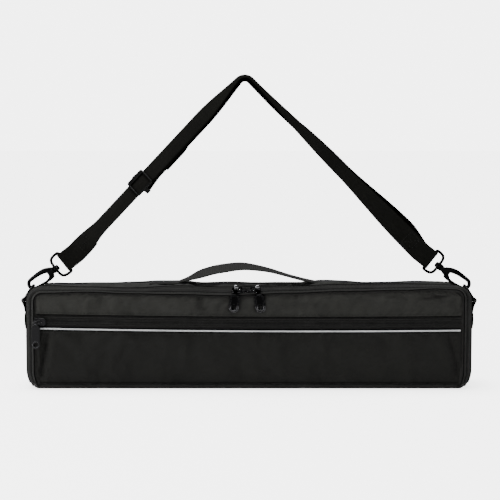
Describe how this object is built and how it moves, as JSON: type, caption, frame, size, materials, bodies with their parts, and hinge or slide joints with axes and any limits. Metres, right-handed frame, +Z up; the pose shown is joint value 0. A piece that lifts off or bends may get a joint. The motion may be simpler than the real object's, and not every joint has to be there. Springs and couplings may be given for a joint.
{
  "type": "flute bag",
  "caption": "Padded box-shaped soft bag for a flute in its case, with a zipped front flap, front pocket, carry handle and clip-on adjustable shoulder strap.",
  "frame": {"origin": "centre of the bottom face, on the surface that the bag stands on", "axes": "+X along the bag to the right as seen from the front, front flap faces -Y, +Z up"},
  "size_m": [0.4536, 0.0715, 0.3101],
  "materials": {
    "shell_fabric": "woven black polyester",
    "pocket_fabric": "woven black polyester",
    "lining": "brushed black lining",
    "webbing": "woven black webbing",
    "zip_tape": "black zip tape with nylon coil",
    "black_metal": "gloss black",
    "matt_metal": "matt black",
    "piping": "silver reflective piping",
    "plastic": "black moulded plastic"
  },
  "bodies": {
    "bag": {"back_panel": "shell_fabric", "bottom_panel": "shell_fabric", "gusset": "shell_fabric", "bag_lining": "lining", "rear_zip_tape": "zip_tape", "ring_tab_left": "webbing", "ring_tab_right": "webbing", "handle_end_left": "webbing", "handle_end_right": "webbing", "handle_rise_left": "webbing", "handle_rise_right": "webbing"},
    "front_flap": {"front_zip_tape": "zip_tape", "front_panel": "shell_fabric", "front_lining": "lining", "front_top_strip": "pocket_fabric", "pocket_panel": "pocket_fabric", "pocket_zip_tape_upper": "zip_tape", "pocket_zip_tape_lower": "zip_tape", "reflective_piping": "piping"},
    "main_slider_left_body": {"main_slider_left": "black_metal"},
    "main_slider_right_body": {"main_slider_right": "black_metal"},
    "main_pull_left_body": {"main_pull_left": "black_metal"},
    "main_pull_right_body": {"main_pull_right": "black_metal"},
    "pocket_slider_body": {"pocket_slider": "matt_metal"},
    "pocket_pull_body": {"pocket_pull": "matt_metal"},
    "handle": {"handle_grip": "webbing"},
    "ring_left": {"d_ring_left": "black_metal"},
    "ring_right": {"d_ring_right": "black_metal"},
    "strap": {"strap_webbing": "webbing", "swivel_ring_left": "black_metal", "swivel_ring_right": "black_metal"},
    "adjuster": {"tri_glide": "plastic", "slider_loop": "webbing"},
    "hook_left": {"snap_hook_left": "black_metal", "gate_pin_left": "black_metal"},
    "hook_right": {"snap_hook_right": "black_metal", "gate_pin_right": "black_metal"},
    "gate_left": {"hook_gate_left": "black_metal"},
    "gate_right": {"hook_gate_right": "black_metal"}
  },
  "joints": [
    {"name": "flap_open", "type": "hinge", "parent": "bag", "child": "front_flap", "pos_m": [0, -0.033, 0.00515], "axis": [1, 0, 0], "range_deg": [0, 90]},
    {"name": "main_zip_left", "type": "slide", "parent": "front_flap", "child": "main_slider_left_body", "axis": [-1, 0, 0], "range_m": [0, 0.18]},
    {"name": "main_zip_right", "type": "slide", "parent": "front_flap", "child": "main_slider_right_body", "axis": [1, 0, 0], "range_m": [0, 0.18]},
    {"name": "main_pull_left_lift", "type": "hinge", "parent": "main_slider_left_body", "child": "main_pull_left_body", "pos_m": [-0.00735, -0.02907, 0.10302], "axis": [-1, 0, 0], "range_deg": [0, 110]},
    {"name": "main_pull_right_lift", "type": "hinge", "parent": "main_slider_right_body", "child": "main_pull_right_body", "pos_m": [0.00735, -0.02907, 0.10302], "axis": [-1, 0, 0], "range_deg": [0, 110]},
    {"name": "pocket_zip", "type": "slide", "parent": "front_flap", "child": "pocket_slider_body", "axis": [1, 0, 0], "range_m": [0, 0.403]},
    {"name": "pocket_pull_lift", "type": "hinge", "parent": "pocket_slider_body", "child": "pocket_pull_body", "pos_m": [-0.2069, -0.0367, 0.0673], "axis": [-1, 0, 0], "range_deg": [0, 120]},
    {"name": "handle_swing", "type": "hinge", "parent": "bag", "child": "handle", "pos_m": [0, 0, 0.10305], "axis": [1, 0, 0], "range_deg": [-30, 30], "stiffness_Nm_per_rad": 0.01, "deforming": ["handle_rise_left", "handle_rise_right"]},
    {"name": "ring_left_swing", "type": "hinge", "parent": "bag", "child": "ring_left", "pos_m": [-0.22365, 0, 0.0855], "axis": [0, -1, 0], "range_deg": [0, 5]},
    {"name": "ring_right_swing", "type": "hinge", "parent": "bag", "child": "ring_right", "pos_m": [0.22365, 0, 0.0855], "axis": [0, 1, 0], "range_deg": [0, 5]},
    {"name": "strap_swing", "type": "hinge", "parent": "bag", "child": "strap", "pos_m": [0, 0, 0.0998], "axis": [-1, 0, 0], "range_deg": [-20, 20]},
    {"name": "hook_left_swivel", "type": "hinge", "parent": "strap", "child": "hook_left", "pos_m": [-0.1911, 0, 0.1181], "axis": [0.7869, 0, 0.617], "range_deg": [-25, 25]},
    {"name": "hook_right_swivel", "type": "hinge", "parent": "strap", "child": "hook_right", "pos_m": [0.1911, 0, 0.1181], "axis": [0.7869, 0, -0.617], "range_deg": [-25, 25]},
    {"name": "gate_left_open", "type": "hinge", "parent": "hook_left", "child": "gate_left", "pos_m": [-0.197, 0, 0.11233], "axis": [0, 1, 0], "range_deg": [0, 19], "stiffness_Nm_per_rad": 0.02, "springref_deg": -11.46},
    {"name": "gate_right_open", "type": "hinge", "parent": "hook_right", "child": "gate_right", "pos_m": [0.197, 0, 0.11233], "axis": [0, -1, 0], "range_deg": [0, 19], "stiffness_Nm_per_rad": 0.02, "springref_deg": -11.46},
    {"name": "strap_adjust", "type": "slide", "parent": "strap", "child": "adjuster", "axis": [-0.6848, 0, -0.7288], "range_m": [-0.01, 0.036]}
  ]
}
